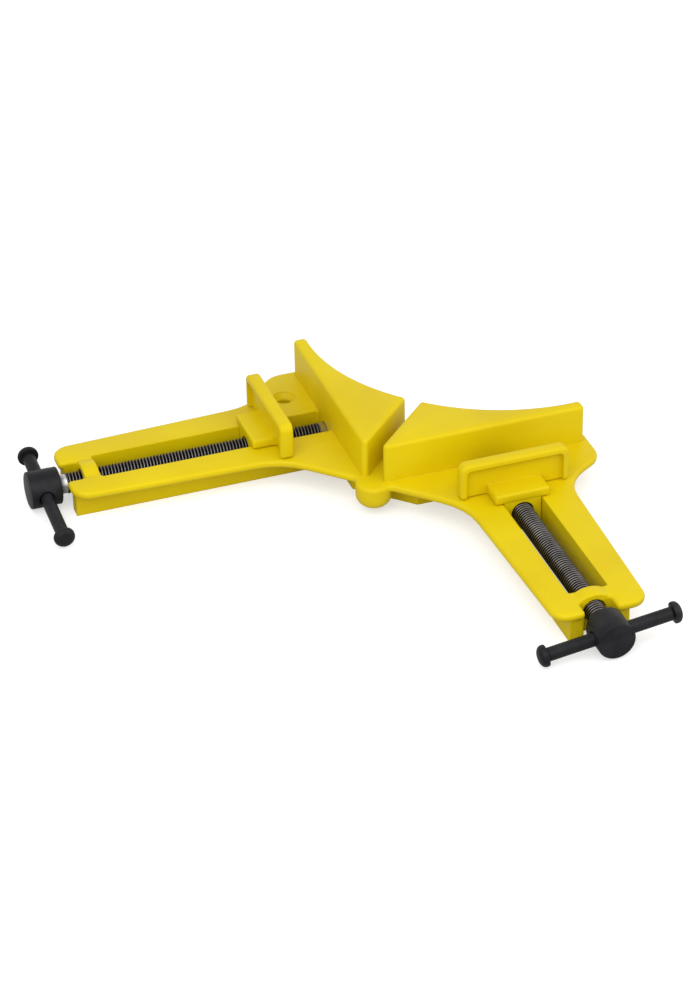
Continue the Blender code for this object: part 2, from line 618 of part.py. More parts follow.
def make_bar(side):
    """The sliding tommy bar through the hub, with a domed cap pressed on each end."""
    centre = place(side, BAR_U, ARM_V, SCREW_Z)
    turn = across(side, BAR_TILT[side])
    far, near = CAP_AT[side]
    high = far - CAP_LONG / 2 - GAP
    low = near + CAP_LONG / 2 + GAP
    bar = turned(side + "_tommy_bar", [
        (0.0, high + SPIGOT_LONG), (SPIGOT_D / 2, high + SPIGOT_LONG), (SPIGOT_D / 2, high),
        (BAR_D / 2, high), (BAR_D / 2, low), (SPIGOT_D / 2, low), (SPIGOT_D / 2, low - SPIGOT_LONG),
        (0.0, low - SPIGOT_LONG)], centre, turn, parts, 24)
    paint(bar, DARK, 0.6, 0.45)
    finish_mesh(bar)
    for name, at, sign in ((CAP_NAMES[side][0], far, 1.0), (CAP_NAMES[side][1], near, -1.0)):
        inner_face = at - sign * CAP_LONG / 2
        bore = SPIGOT_D / 2 + GAP
        floor = SPIGOT_LONG + 2 * GAP - GAP
        dome = [(0.0, CAP_LONG), (0.30 * CAP_D, CAP_LONG - 0.25 * MM), (0.42 * CAP_D, CAP_LONG - 0.8 * MM),
                (0.49 * CAP_D, CAP_LONG - 1.6 * MM), (0.5 * CAP_D, CAP_LONG - 2.2 * MM), (0.5 * CAP_D, 0.5 * MM),
                (0.46 * CAP_D, 0.0), (bore, 0.0), (bore, floor), (0.0, floor)]
        spin = turn.to_matrix() if sign > 0 else turn.to_matrix() @ Matrix.Rotation(math.pi, 3, "X")
        cap = turned(name, dome, centre + turn.to_matrix() @ Vector((0.0, 0.0, inner_face)), spin.to_euler(),
                     parts, 24)
        paint(cap, DARK, 0.3, 0.4)
        finish_mesh(cap)


for side in ("left", "right"):
    make_jaw(side)
    make_screw(side)
    make_bar(side)
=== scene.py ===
"""Corner clamp: the finished look of a two-screw corner clamp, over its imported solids."""

import math

import bmesh
import bpy
import numpy as np
from bpy.props import BoolProperty, FloatProperty, FloatVectorProperty, IntProperty, PointerProperty
from mathutils import Matrix, Vector


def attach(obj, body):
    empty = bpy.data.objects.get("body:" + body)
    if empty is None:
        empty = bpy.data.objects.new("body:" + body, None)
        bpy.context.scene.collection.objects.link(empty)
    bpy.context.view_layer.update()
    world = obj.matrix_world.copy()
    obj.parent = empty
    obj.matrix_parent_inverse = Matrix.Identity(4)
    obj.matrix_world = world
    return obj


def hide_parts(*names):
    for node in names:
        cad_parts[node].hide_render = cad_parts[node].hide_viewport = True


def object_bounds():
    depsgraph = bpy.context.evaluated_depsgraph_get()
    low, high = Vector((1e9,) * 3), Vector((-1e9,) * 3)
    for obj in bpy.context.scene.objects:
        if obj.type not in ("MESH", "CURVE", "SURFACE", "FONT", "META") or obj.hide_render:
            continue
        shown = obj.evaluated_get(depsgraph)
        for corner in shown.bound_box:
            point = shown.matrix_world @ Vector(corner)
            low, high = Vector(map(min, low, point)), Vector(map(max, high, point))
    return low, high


bl_info = {
    "name": "Corner clamp finish",
    "version": (1, 0, 0),
    "blender": (4, 5, 0),
    "location": "View3D > Sidebar > Clamp",
    "description": "Dresses the corner clamp's solids with paint, rolled threads and blackened steel",
    "category": "Object",
}

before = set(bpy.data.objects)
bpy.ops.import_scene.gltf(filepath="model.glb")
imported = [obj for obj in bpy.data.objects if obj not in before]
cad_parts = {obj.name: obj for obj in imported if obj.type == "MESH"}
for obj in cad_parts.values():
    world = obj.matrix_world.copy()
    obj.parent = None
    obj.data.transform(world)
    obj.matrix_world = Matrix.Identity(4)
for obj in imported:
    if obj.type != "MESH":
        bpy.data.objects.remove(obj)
CAD_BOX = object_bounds()
MM = 0.001
SIDES = ("left", "right")

# Where things are on an arm: out along it, across it and in height, as the solids have them
ARM_V = 49.3 * MM
SCREW_Z = -4.95 * MM
JAW_FRONT = {"left": 19.3 * MM, "right": 17.0 * MM}

# The box that opens a jaw's recess at its foot: behind the plate's front, off the screw's line, in height
RECESS_FLOOR = 3.4 * MM
RECESS_BACK = 6.2 * MM
SADDLE_HALF = 10.69 * MM
RECESS_HALF = 18.9 * MM
FOOT_LOW = -1.0 * MM
FOOT_HIGH = 5.0 * MM

# The screw's profile: distances out along the arm, then radii
SCREW_FROM = -7.0 * MM
GROOVE_FROM = -6.1 * MM
GROOVE_TO = -4.7 * MM
THREAD_FROM = 2.3 * MM
THREAD_TO = 102.3 * MM
SCREW_TO = 107.7 * MM
SCREW_CHAMFER = 0.4 * MM
CREST_R = 3.9 * MM
SHANK_R = 3.6 * MM
GROOVE_R = 2.8 * MM
SCREW_TIP_R = 0.3 * MM

# The thread: where its blank starts and how steeply it rises, how far its cut fades, and its V's shape
THREAD_MARGIN = 0.05 * MM
THREAD_RISE = 0.9
THREAD_FADE = 1.3 * MM
V_FOOT = 0.02
V_TOP = 0.98
V_ROUNDED = 0.35
V_OVER = 1.12

# What the crest attribute holds off the thread, and the values between which the shader tells it apart
OFF_THREAD = 2.0
ON_THREAD_TO = 1.3
OFF_THREAD_FROM = 1.7

# The tommy bars: where they cross, their tilt in degrees, and their caps' middles along them
BAR_U = 111.3 * MM
BAR_TILT = {"left": 5.93, "right": 7.25}
CAP_AT = {"left": (21.0 * MM, -30.9 * MM), "right": (24.9 * MM, -26.0 * MM)}
CAP_NAMES = {"left": ("left_bar_far_cap", "left_bar_near_cap"),
             "right": ("right_bar_outer_cap", "right_bar_inner_cap")}
ROD_R = 2.5 * MM
ROD_EASE = 0.15 * MM
ROD_SHORT = 1.95 * MM
SPIGOT_R = 1.5 * MM
SPIGOT_LONG = 2.4 * MM
SPIGOT_TIP_R = 0.2 * MM
ROD_AROUND = 56

# The domed caps
CAP_R = 4.0 * MM
CAP_LONG = 3.3 * MM
CAP_SIDE = 1.0 * MM
CAP_EASE = 0.45 * MM
CAP_EASE_MIDDLE = 0.12 * MM
CAP_BORE_R = 1.8 * MM
CAP_BORE_DEEP = 2.7 * MM
CAP_TIP_R = 0.1 * MM
DOME_POWER = 0.8
DOME_STEPS = 16
CAP_AROUND = 64

# Merging and shading: a distance, then angles in degrees
SAME_PLACE = 0.002 * MM
FLAT_ANGLE = 0.4
SHARP_ANGLE = 32.0
THREAD_SHARP_ANGLE = 55.0

# The small fittings: node, piece, body and slot
FITTINGS = (("jaw_nut", "threaded_bush", "jaw_body", "plain_steel"),
            ("thrust_washer", "washer", "screw_body", "plain_steel"),
            ("hub_pin", "pin", "screw_body", "plain_steel"),
            ("retaining_clip", "clip", "screw_body", "spring_steel"))

# The stage, in metres
FLOOR_HALF = 4
LAMP_SIZE = 1.3
KEY_AT = (-0.55, -0.75, 0.95)
FILL_AT = (0.85, -0.55, 0.70)
WHITE = (1.0, 1.0, 1.0)

# The photographer's place, fitted to the two arms: degrees, pixels of the photo, metres, and a film in mm
HEADING = -18.99
RISE = 33.13
ROLL = -1.03
FOCAL_PIXELS = 3366.87
PHOTO_PIXELS = 1000.0
AWAY = 1.2474
SHIFT_X = 0.00709
SHIFT_Y = 0.00569
FILM = 36.0
CLIP_NEAR = 0.05
CLIP_FAR = 50.0


class PaintSettings(bpy.types.PropertyGroup):
    """The enamel on the castings."""

    colour: FloatVectorProperty(name="Enamel", description="Colour of the yellow enamel", subtype="COLOR",
                                size=3, min=0.0, max=1.0, default=(0.685, 0.525, 0.001))
    deep: FloatVectorProperty(name="Deep enamel", description="Colour where the enamel lies thicker",
                              subtype="COLOR", size=3, min=0.0, max=1.0, default=(0.635, 0.470, 0.001))
    roughness: FloatProperty(name="Roughness", description="How dull the enamel is", min=0.0, max=1.0,
                             default=0.44, subtype="FACTOR")
    edge: FloatProperty(name="Edge softness", description="Radius at which paint rounds the edges",
                        min=0.0, max=5.0 * MM, default=0.7 * MM, unit="LENGTH")


class ThreadSettings(bpy.types.PropertyGroup):
    """The rolled thread of the two screws."""

    pitch: FloatProperty(name="Pitch", description="Distance between two crests", min=0.5 * MM,
                         max=5.0 * MM, default=1.25 * MM, unit="LENGTH")
    depth: FloatProperty(name="Depth", description="Height of the crests over the roots", min=0.0,
                         max=2.0 * MM, default=0.74 * MM, unit="LENGTH")
    left_handed: BoolProperty(name="Left-handed", description="Clockwise turns close the jaw", default=True)
    steps: IntProperty(name="Steps a turn", description="Points along one pitch", min=6, max=24, default=12)
    around: IntProperty(name="Points around", description="Points around the screw", min=16, max=96,
                        default=44)
    steel: FloatVectorProperty(name="Steel", description="Colour of the crests", subtype="COLOR", size=3,
                               min=0.0, max=1.0, default=(0.215, 0.205, 0.195))
    shank: FloatVectorProperty(name="Shank", description="Colour of the plain ends", subtype="COLOR",
                               size=3, min=0.0, max=1.0, default=(0.56, 0.55, 0.53))
    # The root colour is painted shade down in the thread's grooves.
    root: FloatVectorProperty(name="Root", description="Colour down in the thread", subtype="COLOR", size=3,
                              min=0.0, max=1.0, default=(0.012, 0.010, 0.010))


class BlackSettings(bpy.types.PropertyGroup):
    """The blackened steel of hubs, bars and caps."""

    colour: FloatVectorProperty(name="Black", description="Colour of the black oxide", subtype="COLOR",
                                size=3, min=0.0, max=1.0, default=(0.008, 0.008, 0.0095))
    worn: FloatVectorProperty(name="Worn", description="Colour where hands have rubbed it", subtype="COLOR",
                              size=3, min=0.0, max=1.0, default=(0.020, 0.020, 0.022))
    roughness: FloatProperty(name="Roughness", description="How dull the oxide is", min=0.0, max=1.0,
                             default=0.42, subtype="FACTOR")
    hub_edge: FloatProperty(name="Hub edges", description="Radius at which the hubs' edges are rounded",
                            min=0.0, max=5.0 * MM, default=0.6 * MM, unit="LENGTH")
    bar_edge: FloatProperty(name="Bar edges", description="Radius at which bars' and caps' edges are rounded",
                            min=0.0, max=5.0 * MM, default=0.3 * MM, unit="LENGTH")


class FittingSettings(bpy.types.PropertyGroup):
    """The steel of the bushes, washers, pins and clips."""

    steel: FloatVectorProperty(name="Turned steel", description="Colour of bushes, washers and pins",
                               subtype="COLOR", size=3, min=0.0, max=1.0, default=(0.60, 0.60, 0.58))
    spring: FloatVectorProperty(name="Spring steel", description="Colour of the retaining clips",
                                subtype="COLOR", size=3, min=0.0, max=1.0, default=(0.16, 0.16, 0.17))


class StageSettings(bpy.types.PropertyGroup):
    """The floor and the lamps."""

    floor: FloatVectorProperty(name="Floor", description="Colour of the floor", subtype="COLOR", size=3,
                               min=0.0, max=1.0, default=(0.62, 0.62, 0.62))
    glow: FloatProperty(name="Floor glow", description="Light that the floor gives to the camera alone",
                        min=0.0, default=0.52)
    key: FloatProperty(name="Key lamp", description="Power of the large soft lamp", min=0.0, default=12.0,
                       unit="POWER")
    fill: FloatProperty(name="Fill lamp", description="Power of the lamp on the other side", min=0.0,
                        default=6.0, unit="POWER")
    sky: FloatProperty(name="Room light", description="Strength of the even light all round", min=0.0,
                       default=0.68)


class ClampSettings(bpy.types.PropertyGroup):
    """Everything a user would change."""

    paint: PointerProperty(type=PaintSettings)
    thread: PointerProperty(type=ThreadSettings)
    black: PointerProperty(type=BlackSettings)
    fitting: PointerProperty(type=FittingSettings)
    stage: PointerProperty(type=StageSettings)


class Signal:
    """A number socket that can be used in a Python expression."""

    def __init__(self, tree, socket):
        self.tree = tree
        self.socket = socket

    def _math(self, operation, first, second, clamp=False):
        node = self.tree.node("ShaderNodeMath", {"operation": operation, "use_clamp": clamp},
                              {0: first, 1: second})
        return Signal(self.tree, node.outputs[0])

    def __add__(self, other):
        return self._math("ADD", self, other)

    def __radd__(self, other):
        return self._math("ADD", other, self)

    def __sub__(self, other):
        return self._math("SUBTRACT", self, other)

    def __rsub__(self, other):
        return self._math("SUBTRACT", other, self)

    def __mul__(self, other):
        return self._math("MULTIPLY", self, other)

    def __rmul__(self, other):
        return self._math("MULTIPLY", other, self)

    def above(self, low, high):
        """0 below the first value, 1 over the second, a straight ramp between."""
        scaled = (self - low) * (1.0 / (high - low))
        return self._math("MAXIMUM", scaled, 0.0, clamp=True)

    def either(self, other):
        """The larger of the two."""
        return self._math("MAXIMUM", self, other)


class Tree:
    """A node tree that is filled step by step."""

    def __init__(self, tree):
        self.tree = tree

    def node(self, kind, settings=None, values=None):
        """A node of a type, its settings first and then the values or links of its sockets."""
        made = self.tree.nodes.new(kind)
        for key, value in (settings or {}).items():
            setattr(made, key, value)
        for key, value in (values or {}).items():
            self.feed(made.inputs[key], value)
        return made

    def feed(self, socket, value):
        """Sets a socket to a number or colour, or links it to a signal or another socket."""
        if isinstance(value, Signal):
            value = value.socket
        if isinstance(value, bpy.types.NodeSocket):
            self.tree.links.new(value, socket)
        elif isinstance(value, (tuple, list)) and len(value) == 3 and len(socket.default_value) == 4:
            socket.default_value = (*value, 1.0)
        else:
            socket.default_value = value


class Recipe(Tree):
    """A material's node tree, built from a few named steps."""

    def __init__(self, name):
        self.material = bpy.data.materials.new(name)
        self.material.use_nodes = True
        super().__init__(self.material.node_tree)
        self.shader = self.tree.nodes["Principled BSDF"]

    def noise(self, scale, detail, roughness):
        """Soft noise from 0 to 1 on Object coordinates, its scale in features a metre."""
        coordinates = self.node("ShaderNodeTexCoord").outputs["Object"]
        made = self.node("ShaderNodeTexNoise", None, {"Vector": coordinates, "Scale": scale,
                                                      "Detail": detail, "Roughness": roughness})
        return Signal(self, made.outputs["Fac"])

    def attribute(self, name):
        """A number stored on the mesh's points."""
        return Signal(self, self.node("ShaderNodeAttribute", {"attribute_name": name}).outputs["Fac"])

    def blend(self, first, second, amount):
        """Goes from the first colour to the second as the amount goes from 0 to 1.

        On a Mix node set to colours, socket 0 is the factor, 6 and 7 the colours, and output 2 the result.
        """
        return self.node("ShaderNodeMix", {"data_type": "RGBA"}, {0: amount, 6: first, 7: second}).outputs[2]

    def relief(self, height, distance, strength, normal=None):
        """Bump from a height signal, its distance in metres, over other normals where they are given."""
        values = {"Height": height, "Distance": distance, "Strength": strength}
        if normal is not None:
            values["Normal"] = normal
        return self.node("ShaderNodeBump", None, values).outputs[0]

    def soft_edges(self, radius):
        """Normals that round every edge of the piece."""
        return self.node("ShaderNodeBevel", {"samples": 8}, {"Radius": radius}).outputs[0]

    def finish(self, **sockets):
        """Sets or links the shader's own sockets by name, with spaces for underscores."""
        for key, value in sockets.items():
            self.feed(self.shader.inputs[key.replace("_", " ")], value)
        return self.material


def enamel():
    """Yellow enamel over a die casting: flow marks, orange peel and softly rounded edges."""
    paint = bpy.context.scene.clamp.paint
    recipe = Recipe("yellow_enamel")
    cloud = recipe.noise(scale=34.0, detail=3.0, roughness=0.5)
    fleck = recipe.noise(scale=900.0, detail=2.0, roughness=0.6)
    peel = recipe.noise(scale=620.0, detail=2.0, roughness=0.5)
    grain = recipe.noise(scale=2600.0, detail=2.0, roughness=0.6)
    colour = recipe.blend(tuple(paint.colour), tuple(paint.deep), cloud.above(0.38, 0.72))
    normal = recipe.relief(peel * 0.7 + grain * 0.3, distance=0.06 * MM, strength=0.55,
                           normal=recipe.soft_edges(paint.edge))
    return recipe.finish(Base_Color=colour, Roughness=paint.roughness + fleck * 0.10 - 0.04, Normal=normal,
                         Specular_IOR_Level=0.15, Coat_Weight=0.02, Coat_Roughness=0.22)


def screw_steel():
    """Rolled steel thread: steel crests over roots darkened with painted shade, patchy, with fine marks, and
    brighter plain ends.
    """
    thread = bpy.context.scene.clamp.thread
    recipe = Recipe("thread_steel")
    crest = recipe.attribute("crest")
    patch = recipe.noise(scale=160.0, detail=4.0, roughness=0.6)
    lines = recipe.noise(scale=1500.0, detail=2.0, roughness=0.5)
    # Painted shade: the colour darkens from the crests to the root colour deep in the thread's grooves, and
    # random patches move where it starts.
    bright = (crest + patch * 0.40 - 0.20).above(0.66, 1.0)
    colour = recipe.blend(tuple(thread.root), tuple(thread.steel), bright)
    colour = recipe.blend(colour, tuple(thread.shank), crest.above(ON_THREAD_TO, OFF_THREAD_FROM))
    return recipe.finish(Base_Color=colour, Metallic=1.0, Roughness=0.54 - bright * 0.20 + lines * 0.10,
                         Normal=recipe.relief(lines, distance=0.02 * MM, strength=0.6))


def turned_steel(name, colour):
    """Plain turned steel, darker in patches, with fine tool marks."""
    recipe = Recipe(name)
    marks = recipe.noise(scale=1800.0, detail=3.0, roughness=0.6)
    patch = recipe.noise(scale=120.0, detail=3.0, roughness=0.5)
    darker = tuple(part * 0.72 for part in colour)
    return recipe.finish(Base_Color=recipe.blend(colour, darker, patch.above(0.4, 0.7)), Metallic=1.0,
                         Roughness=0.26 + marks * 0.14,
                         Normal=recipe.relief(marks, distance=0.01 * MM, strength=0.5))


def blackened(name, edge):
    """Black oxide on steel: satin, cloudy, and a little lighter where it is rubbed."""
    black = bpy.context.scene.clamp.black
    recipe = Recipe(name)
    cloud = recipe.noise(scale=110.0, detail=4.0, roughness=0.6)
    grain = recipe.noise(scale=1700.0, detail=3.0, roughness=0.6)
    colour = recipe.blend(tuple(black.colour), tuple(black.worn), cloud.above(0.45, 0.75))
    normal = recipe.relief(grain, distance=0.03 * MM, strength=0.55, normal=recipe.soft_edges(edge))
    return recipe.finish(Base_Color=colour, Metallic=0.0, Roughness=black.roughness + grain * 0.14 - 0.06,
                         Normal=normal, Specular_IOR_Level=0.15)


def arm_frame(side):
    """Unit vectors of an arm: across, up, and outward, right-handed in that order."""
    if side == "left":
        return np.array([[0.0, -1.0, 0.0], [0.0, 0.0, 1.0], [-1.0, 0.0, 0.0]])
    return np.array([[1.0, 0.0, 0.0], [0.0, 0.0, 1.0], [0.0, -1.0, 0.0]])


def arm_point(side, u, v, z):
    """A point from its distances along and across an arm, and its height."""
    return np.array([-u, v, z]) if side == "left" else np.array([v, -u, z])


def bar_frame(side):
    """Unit vectors of a tommy bar, the last one along it toward its raised end."""
    tilt = math.radians(BAR_TILT[side])
    first = np.array([1.0, 0.0, 0.0]) if side == "left" else np.array([0.0, 1.0, 0.0])
    along = arm_point(side, 0.0, math.cos(tilt), math.sin(tilt))
    return np.stack([first, np.cross(along, first), along])


def smooth_step(x, low, high):
    """3 t^2 - 2 t^3, with t the share of the way from low to high."""
    t = np.clip((x - low) / (high - low), 0.0, 1.0)
    return t * t * (3.0 - 2.0 * t)


def closed_sheet(name, grid):
    """A mesh from a grid of points (rows, around, 3), closed around and capped at its first and last rows.

    Faces join point (i, j) to (i, j + 1), (i + 1, j + 1) and (i + 1, j), with j taken modulo the count
    around. The sign of the enclosed volume, the sum of a . (b x c) / 6 over the faces, turns them out.
    """
    rows, around = grid.shape[:2]
    points = grid.reshape(-1, 3)
    i, j = np.meshgrid(np.arange(rows - 1), np.arange(around), indexing="ij")
    after = (j + 1) % around
    this_row, next_row = i * around, (i + 1) * around
    quads = np.stack([this_row + j, this_row + after, next_row + after, next_row + j], -1).reshape(-1, 4)
    a, b, c, d = (points[quads[:, k]] for k in range(4))
    volume = np.einsum("ij,ij->", a, np.cross(b, c)) + np.einsum("ij,ij->", a, np.cross(c, d))
    caps = [list(range(around))[::-1], list(range((rows - 1) * around, rows * around))]
    if volume < 0:
        quads = quads[:, ::-1]
        caps = [cap[::-1] for cap in caps]
    mesh = bpy.data.meshes.new(name)
    mesh.from_pydata(points.tolist(), [], quads.tolist() + caps)
    mesh.update()
    return mesh


def turned_grid(profile, axes, centre, around, cut=None):
    """A profile of (radius, distance) turned about an axis: centre + r cos t a + r sin t b + h c.

    The cut, where there is one, is a function of distance and angle that is added to the radius.
    """
    profile = np.asarray(profile, float)
    angle = np.arange(around) * 2 * np.pi / around
    radius = profile[:, 0, None] + (cut(profile[:, 1, None], angle[None, :]) if cut else 0.0)
    spokes = np.cos(angle)[None, :, None] * axes[0] + np.sin(angle)[None, :, None] * axes[1]
    return centre + radius[..., None] * spokes + profile[:, 1, None, None] * axes[2]


def thread_cut(thread, distance, angle):
    """Minus the depth times a rounded V, fading at both ends of the thread.

    Distance / pitch + turn gives the phase p, and |2 p - 1| is the V. A share of it is replaced by its
    smooth step, and V_OVER takes it past 1, where it is cut off, so that the crest is flat.
    """
    hand = 1.0 if thread.left_handed else -1.0
    phase = distance / thread.pitch + hand * angle / (2 * np.pi)
    wave = np.abs(2.0 * (phase - np.floor(phase)) - 1.0)
    shape = smooth_step(wave, V_FOOT, V_TOP) * V_ROUNDED + wave * (1.0 - V_ROUNDED)
    fade = smooth_step(distance, THREAD_FROM, THREAD_FROM + THREAD_FADE)
    fade = fade * smooth_step(-distance, -THREAD_TO, -THREAD_TO + THREAD_FADE)
    on = (distance > THREAD_FROM) & (distance < THREAD_TO)
    return np.where(on, -thread.depth * (1.0 - np.clip(shape * V_OVER, 0.0, 1.0)) * fade, 0.0)


def screw_profile(thread):
    """The screw's (radius, distance): an end with the clip's groove, the thread's blank, and a shank."""
    count = int((THREAD_TO - THREAD_FROM) / thread.pitch * thread.steps)
    run = np.linspace(THREAD_FROM + THREAD_MARGIN, THREAD_TO - THREAD_MARGIN, count)
    rise = THREAD_RISE * np.minimum(run - THREAD_FROM, THREAD_TO - run)
    small = SHANK_R - SCREW_CHAMFER
    head = [(SCREW_TIP_R, SCREW_FROM), (small, SCREW_FROM), (SHANK_R, SCREW_FROM + SCREW_CHAMFER),
            (SHANK_R, GROOVE_FROM), (GROOVE_R, GROOVE_FROM), (GROOVE_R, GROOVE_TO), (SHANK_R, GROOVE_TO),
            (SHANK_R, THREAD_FROM)]
    blank = np.stack([np.minimum(CREST_R, SHANK_R + rise), run], 1)
    tail = [(SHANK_R, THREAD_TO), (SHANK_R, SCREW_TO - SCREW_CHAMFER), (small, SCREW_TO),
            (SCREW_TIP_R, SCREW_TO)]
    return np.concatenate([head, blank, tail])


def crest_height(grid, centre, outward, depth):
    """How high each point stands in the thread, from 0 at the root to 1 at the crest, or OFF_THREAD; the
    shader paints shade into the roots from it.
    """
    away = grid - centre
    out = away @ outward
    radius = np.sqrt(np.maximum((away ** 2).sum(-1) - out ** 2, 0.0))
    crest = np.clip((radius - (CREST_R - depth)) / depth, 0.0, 1.0)
    return np.where((out > THREAD_FROM) & (out < THREAD_TO), crest, OFF_THREAD)


def bar_profile(far, near):
    """The tommy bar's (radius, distance): a rod with eased ends and a thin spigot in each cap."""
    low, high = near + ROD_SHORT, far - ROD_SHORT
    low_end = [(SPIGOT_TIP_R, low - SPIGOT_LONG), (SPIGOT_R, low - SPIGOT_LONG), (SPIGOT_R, low),
               (ROD_R - ROD_EASE, low), (ROD_R, low + ROD_EASE)]
    high_end = [(radius, low + high - distance) for radius, distance in reversed(low_end)]
    return low_end + high_end


def cap_profile(at, sign):
    """The domed cap's (radius, distance): a bore, an eased rim, a straight side and a dome.

    The dome is r = R (cos t)^0.8 and h = side + (H - side) sin t, with t from 0 to a quarter turn.
    """
    t = np.linspace(0.0, 0.5 * np.pi, DOME_STEPS)
    dome = np.stack([CAP_R * np.cos(t) ** DOME_POWER, CAP_SIDE + (CAP_LONG - CAP_SIDE) * np.sin(t)], 1)
    dome[-1, 0] = CAP_TIP_R
    rim = [(CAP_TIP_R, CAP_BORE_DEEP), (CAP_BORE_R, CAP_BORE_DEEP), (CAP_BORE_R, 0.0),
           (CAP_R - CAP_EASE, 0.0), (CAP_R - CAP_EASE_MIDDLE, CAP_EASE_MIDDLE), (CAP_R, CAP_EASE)]
    profile = np.concatenate([rim, dome])
    profile[:, 1] = at + sign * (profile[:, 1] - CAP_LONG / 2)
    return profile


def link(mesh, name, material, body, slot, *nodes, sharp=SHARP_ANGLE):
    """Puts a finished mesh in the scene, shades it smooth and lets it ride on its body."""
    mesh.materials.clear()
    mesh.materials.append(material)
    mesh.shade_smooth()
    mesh.set_sharp_from_angle(angle=math.radians(sharp))
    piece = bpy.data.objects.new(name, mesh)
    bpy.context.scene.collection.objects.link(piece)
    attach(piece, body)
    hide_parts(*nodes)
    return piece


def skin_of(node):
    """A merged copy of a solid's mesh, its loose triangles joined so that it can be shaded smooth."""
    return merged(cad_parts[node].data.copy())


def merged(mesh):
    """Joins a mesh's doubles and its flat neighbours, and drops the normals it came with."""
    shape = bmesh.new()
    shape.from_mesh(mesh)
    bmesh.ops.remove_doubles(shape, verts=shape.verts, dist=SAME_PLACE)
    bmesh.ops.dissolve_limit(shape, angle_limit=math.radians(FLAT_ANGLE), verts=shape.verts,
                             edges=shape.edges)
    bmesh.ops.triangulate(shape, faces=[face for face in shape.faces if len(face.verts) > 4])
    shape.to_mesh(mesh)
    shape.free()
    for name in [layer.name for layer in mesh.attributes if layer.name == "custom_normal"]:
        mesh.attributes.remove(mesh.attributes[name])
    return mesh


def open_foot(mesh, side):
    """Runs the recess in a jaw's back down to its foot: a box is cut away on each hand of the saddle."""
    cutter = bpy.data.meshes.new("foot_cutter")
    shape = bmesh.new()
    for hand in (1, -1):
        inner = arm_point(side, JAW_FRONT[side] + RECESS_FLOOR, ARM_V + hand * SADDLE_HALF, FOOT_LOW)
        outer = arm_point(side, JAW_FRONT[side] + RECESS_BACK, ARM_V + hand * RECESS_HALF, FOOT_HIGH)
        size = Matrix.Diagonal((*np.abs(outer - inner), 1.0))
        bmesh.ops.create_cube(shape, size=1.0, matrix=Matrix.Translation((inner + outer) / 2) @ size)
    shape.to_mesh(cutter)
    shape.free()
    guide = bpy.data.objects.new("foot_cutter", cutter)
    whole = bpy.data.objects.new("foot_whole", mesh)
    for thing in (guide, whole):
        bpy.context.scene.collection.objects.link(thing)
    cut = whole.modifiers.new("foot", "BOOLEAN")
    cut.operation = "DIFFERENCE"
    cut.solver = "EXACT"
    cut.object = guide
    bpy.context.view_layer.update()
    opened = bpy.data.meshes.new_from_object(whole.evaluated_get(bpy.context.evaluated_depsgraph_get()))
    for thing in (guide, whole):
        bpy.data.objects.remove(thing, do_unlink=True)
    return merged(opened)


class CLAMP_OT_casting(bpy.types.Operator):
    """Paint the body casting"""

    bl_idname = "clamp.casting"
    bl_label = "Body casting"

    def execute(self, context):
        link(skin_of("body"), "body_casting", enamel(), "frame", "yellow_paint", "body")
        return {"FINISHED"}


class CLAMP_OT_jaws(bpy.types.Operator):
    """Paint the two travelling jaws"""

    bl_idname = "clamp.jaws"
    bl_label = "Travelling jaws"

    def execute(self, context):
        paint = bpy.data.materials.get("yellow_enamel") or enamel()
        for side in SIDES:
            opened = open_foot(skin_of(side + "_jaw"), side)
            link(opened, side + "_travelling_jaw", paint, side + "_jaw_body", "yellow_paint", side + "_jaw")
        return {"FINISHED"}


class CLAMP_OT_screws(bpy.types.Operator):
    """Roll the thread on the two screws"""

    bl_idname = "clamp.screws"
    bl_label = "Screws"

    def execute(self, context):
        thread = context.scene.clamp.thread
        material = screw_steel()
        profile = screw_profile(thread)
        for side in SIDES:
            centre = arm_point(side, 0.0, ARM_V, SCREW_Z)
            axes = arm_frame(side)
            grid = turned_grid(profile, axes, centre, thread.around,
                               lambda distance, angle: thread_cut(thread, distance, angle))
            mesh = closed_sheet(side + "_lead_screw", grid)
            crest = crest_height(grid, centre, axes[2], thread.depth)
            mesh.attributes.new("crest", "FLOAT", "POINT").data.foreach_set("value", crest.ravel())
            link(mesh, side + "_lead_screw", material, side + "_screw_body", "screw_steel", side + "_screw",
                 sharp=THREAD_SHARP_ANGLE)
        return {"FINISHED"}


class CLAMP_OT_hubs(bpy.types.Operator):
    """Blacken the two hubs"""

    bl_idname = "clamp.hubs"
    bl_label = "Hubs"

    def execute(self, context):
        material = blackened("hub_black", context.scene.clamp.black.hub_edge)
        for side in SIDES:
            link(skin_of(side + "_hub"), side + "_handle_hub", material, side + "_screw_body",
                 "black_oxide_hub", side + "_hub")
        return {"FINISHED"}


class CLAMP_OT_bars(bpy.types.Operator):
    """Make the sliding tommy bars and their domed caps"""

    bl_idname = "clamp.bars"
    bl_label = "Tommy bars"

    def execute(self, context):
        edge = context.scene.clamp.black.bar_edge
        bar_black = blackened("bar_black", edge)
        cap_black = blackened("cap_black", edge)
        for side in SIDES:
            axes = bar_frame(side)
            centre = arm_point(side, BAR_U, ARM_V, SCREW_Z)
            rod = turned_grid(bar_profile(*CAP_AT[side]), axes, centre, ROD_AROUND)
            link(closed_sheet(side + "_bar", rod), side + "_sliding_bar", bar_black, side + "_bar_body",
                 "black_oxide_bar", side + "_tommy_bar")
            for node, at, sign in zip(CAP_NAMES[side], CAP_AT[side], (1.0, -1.0)):
                dome = turned_grid(cap_profile(at, sign), axes, centre, CAP_AROUND)
                link(closed_sheet(node, dome), node + "_dome", cap_black, side + "_bar_body", "black_cap",
                     node)
        return {"FINISHED"}


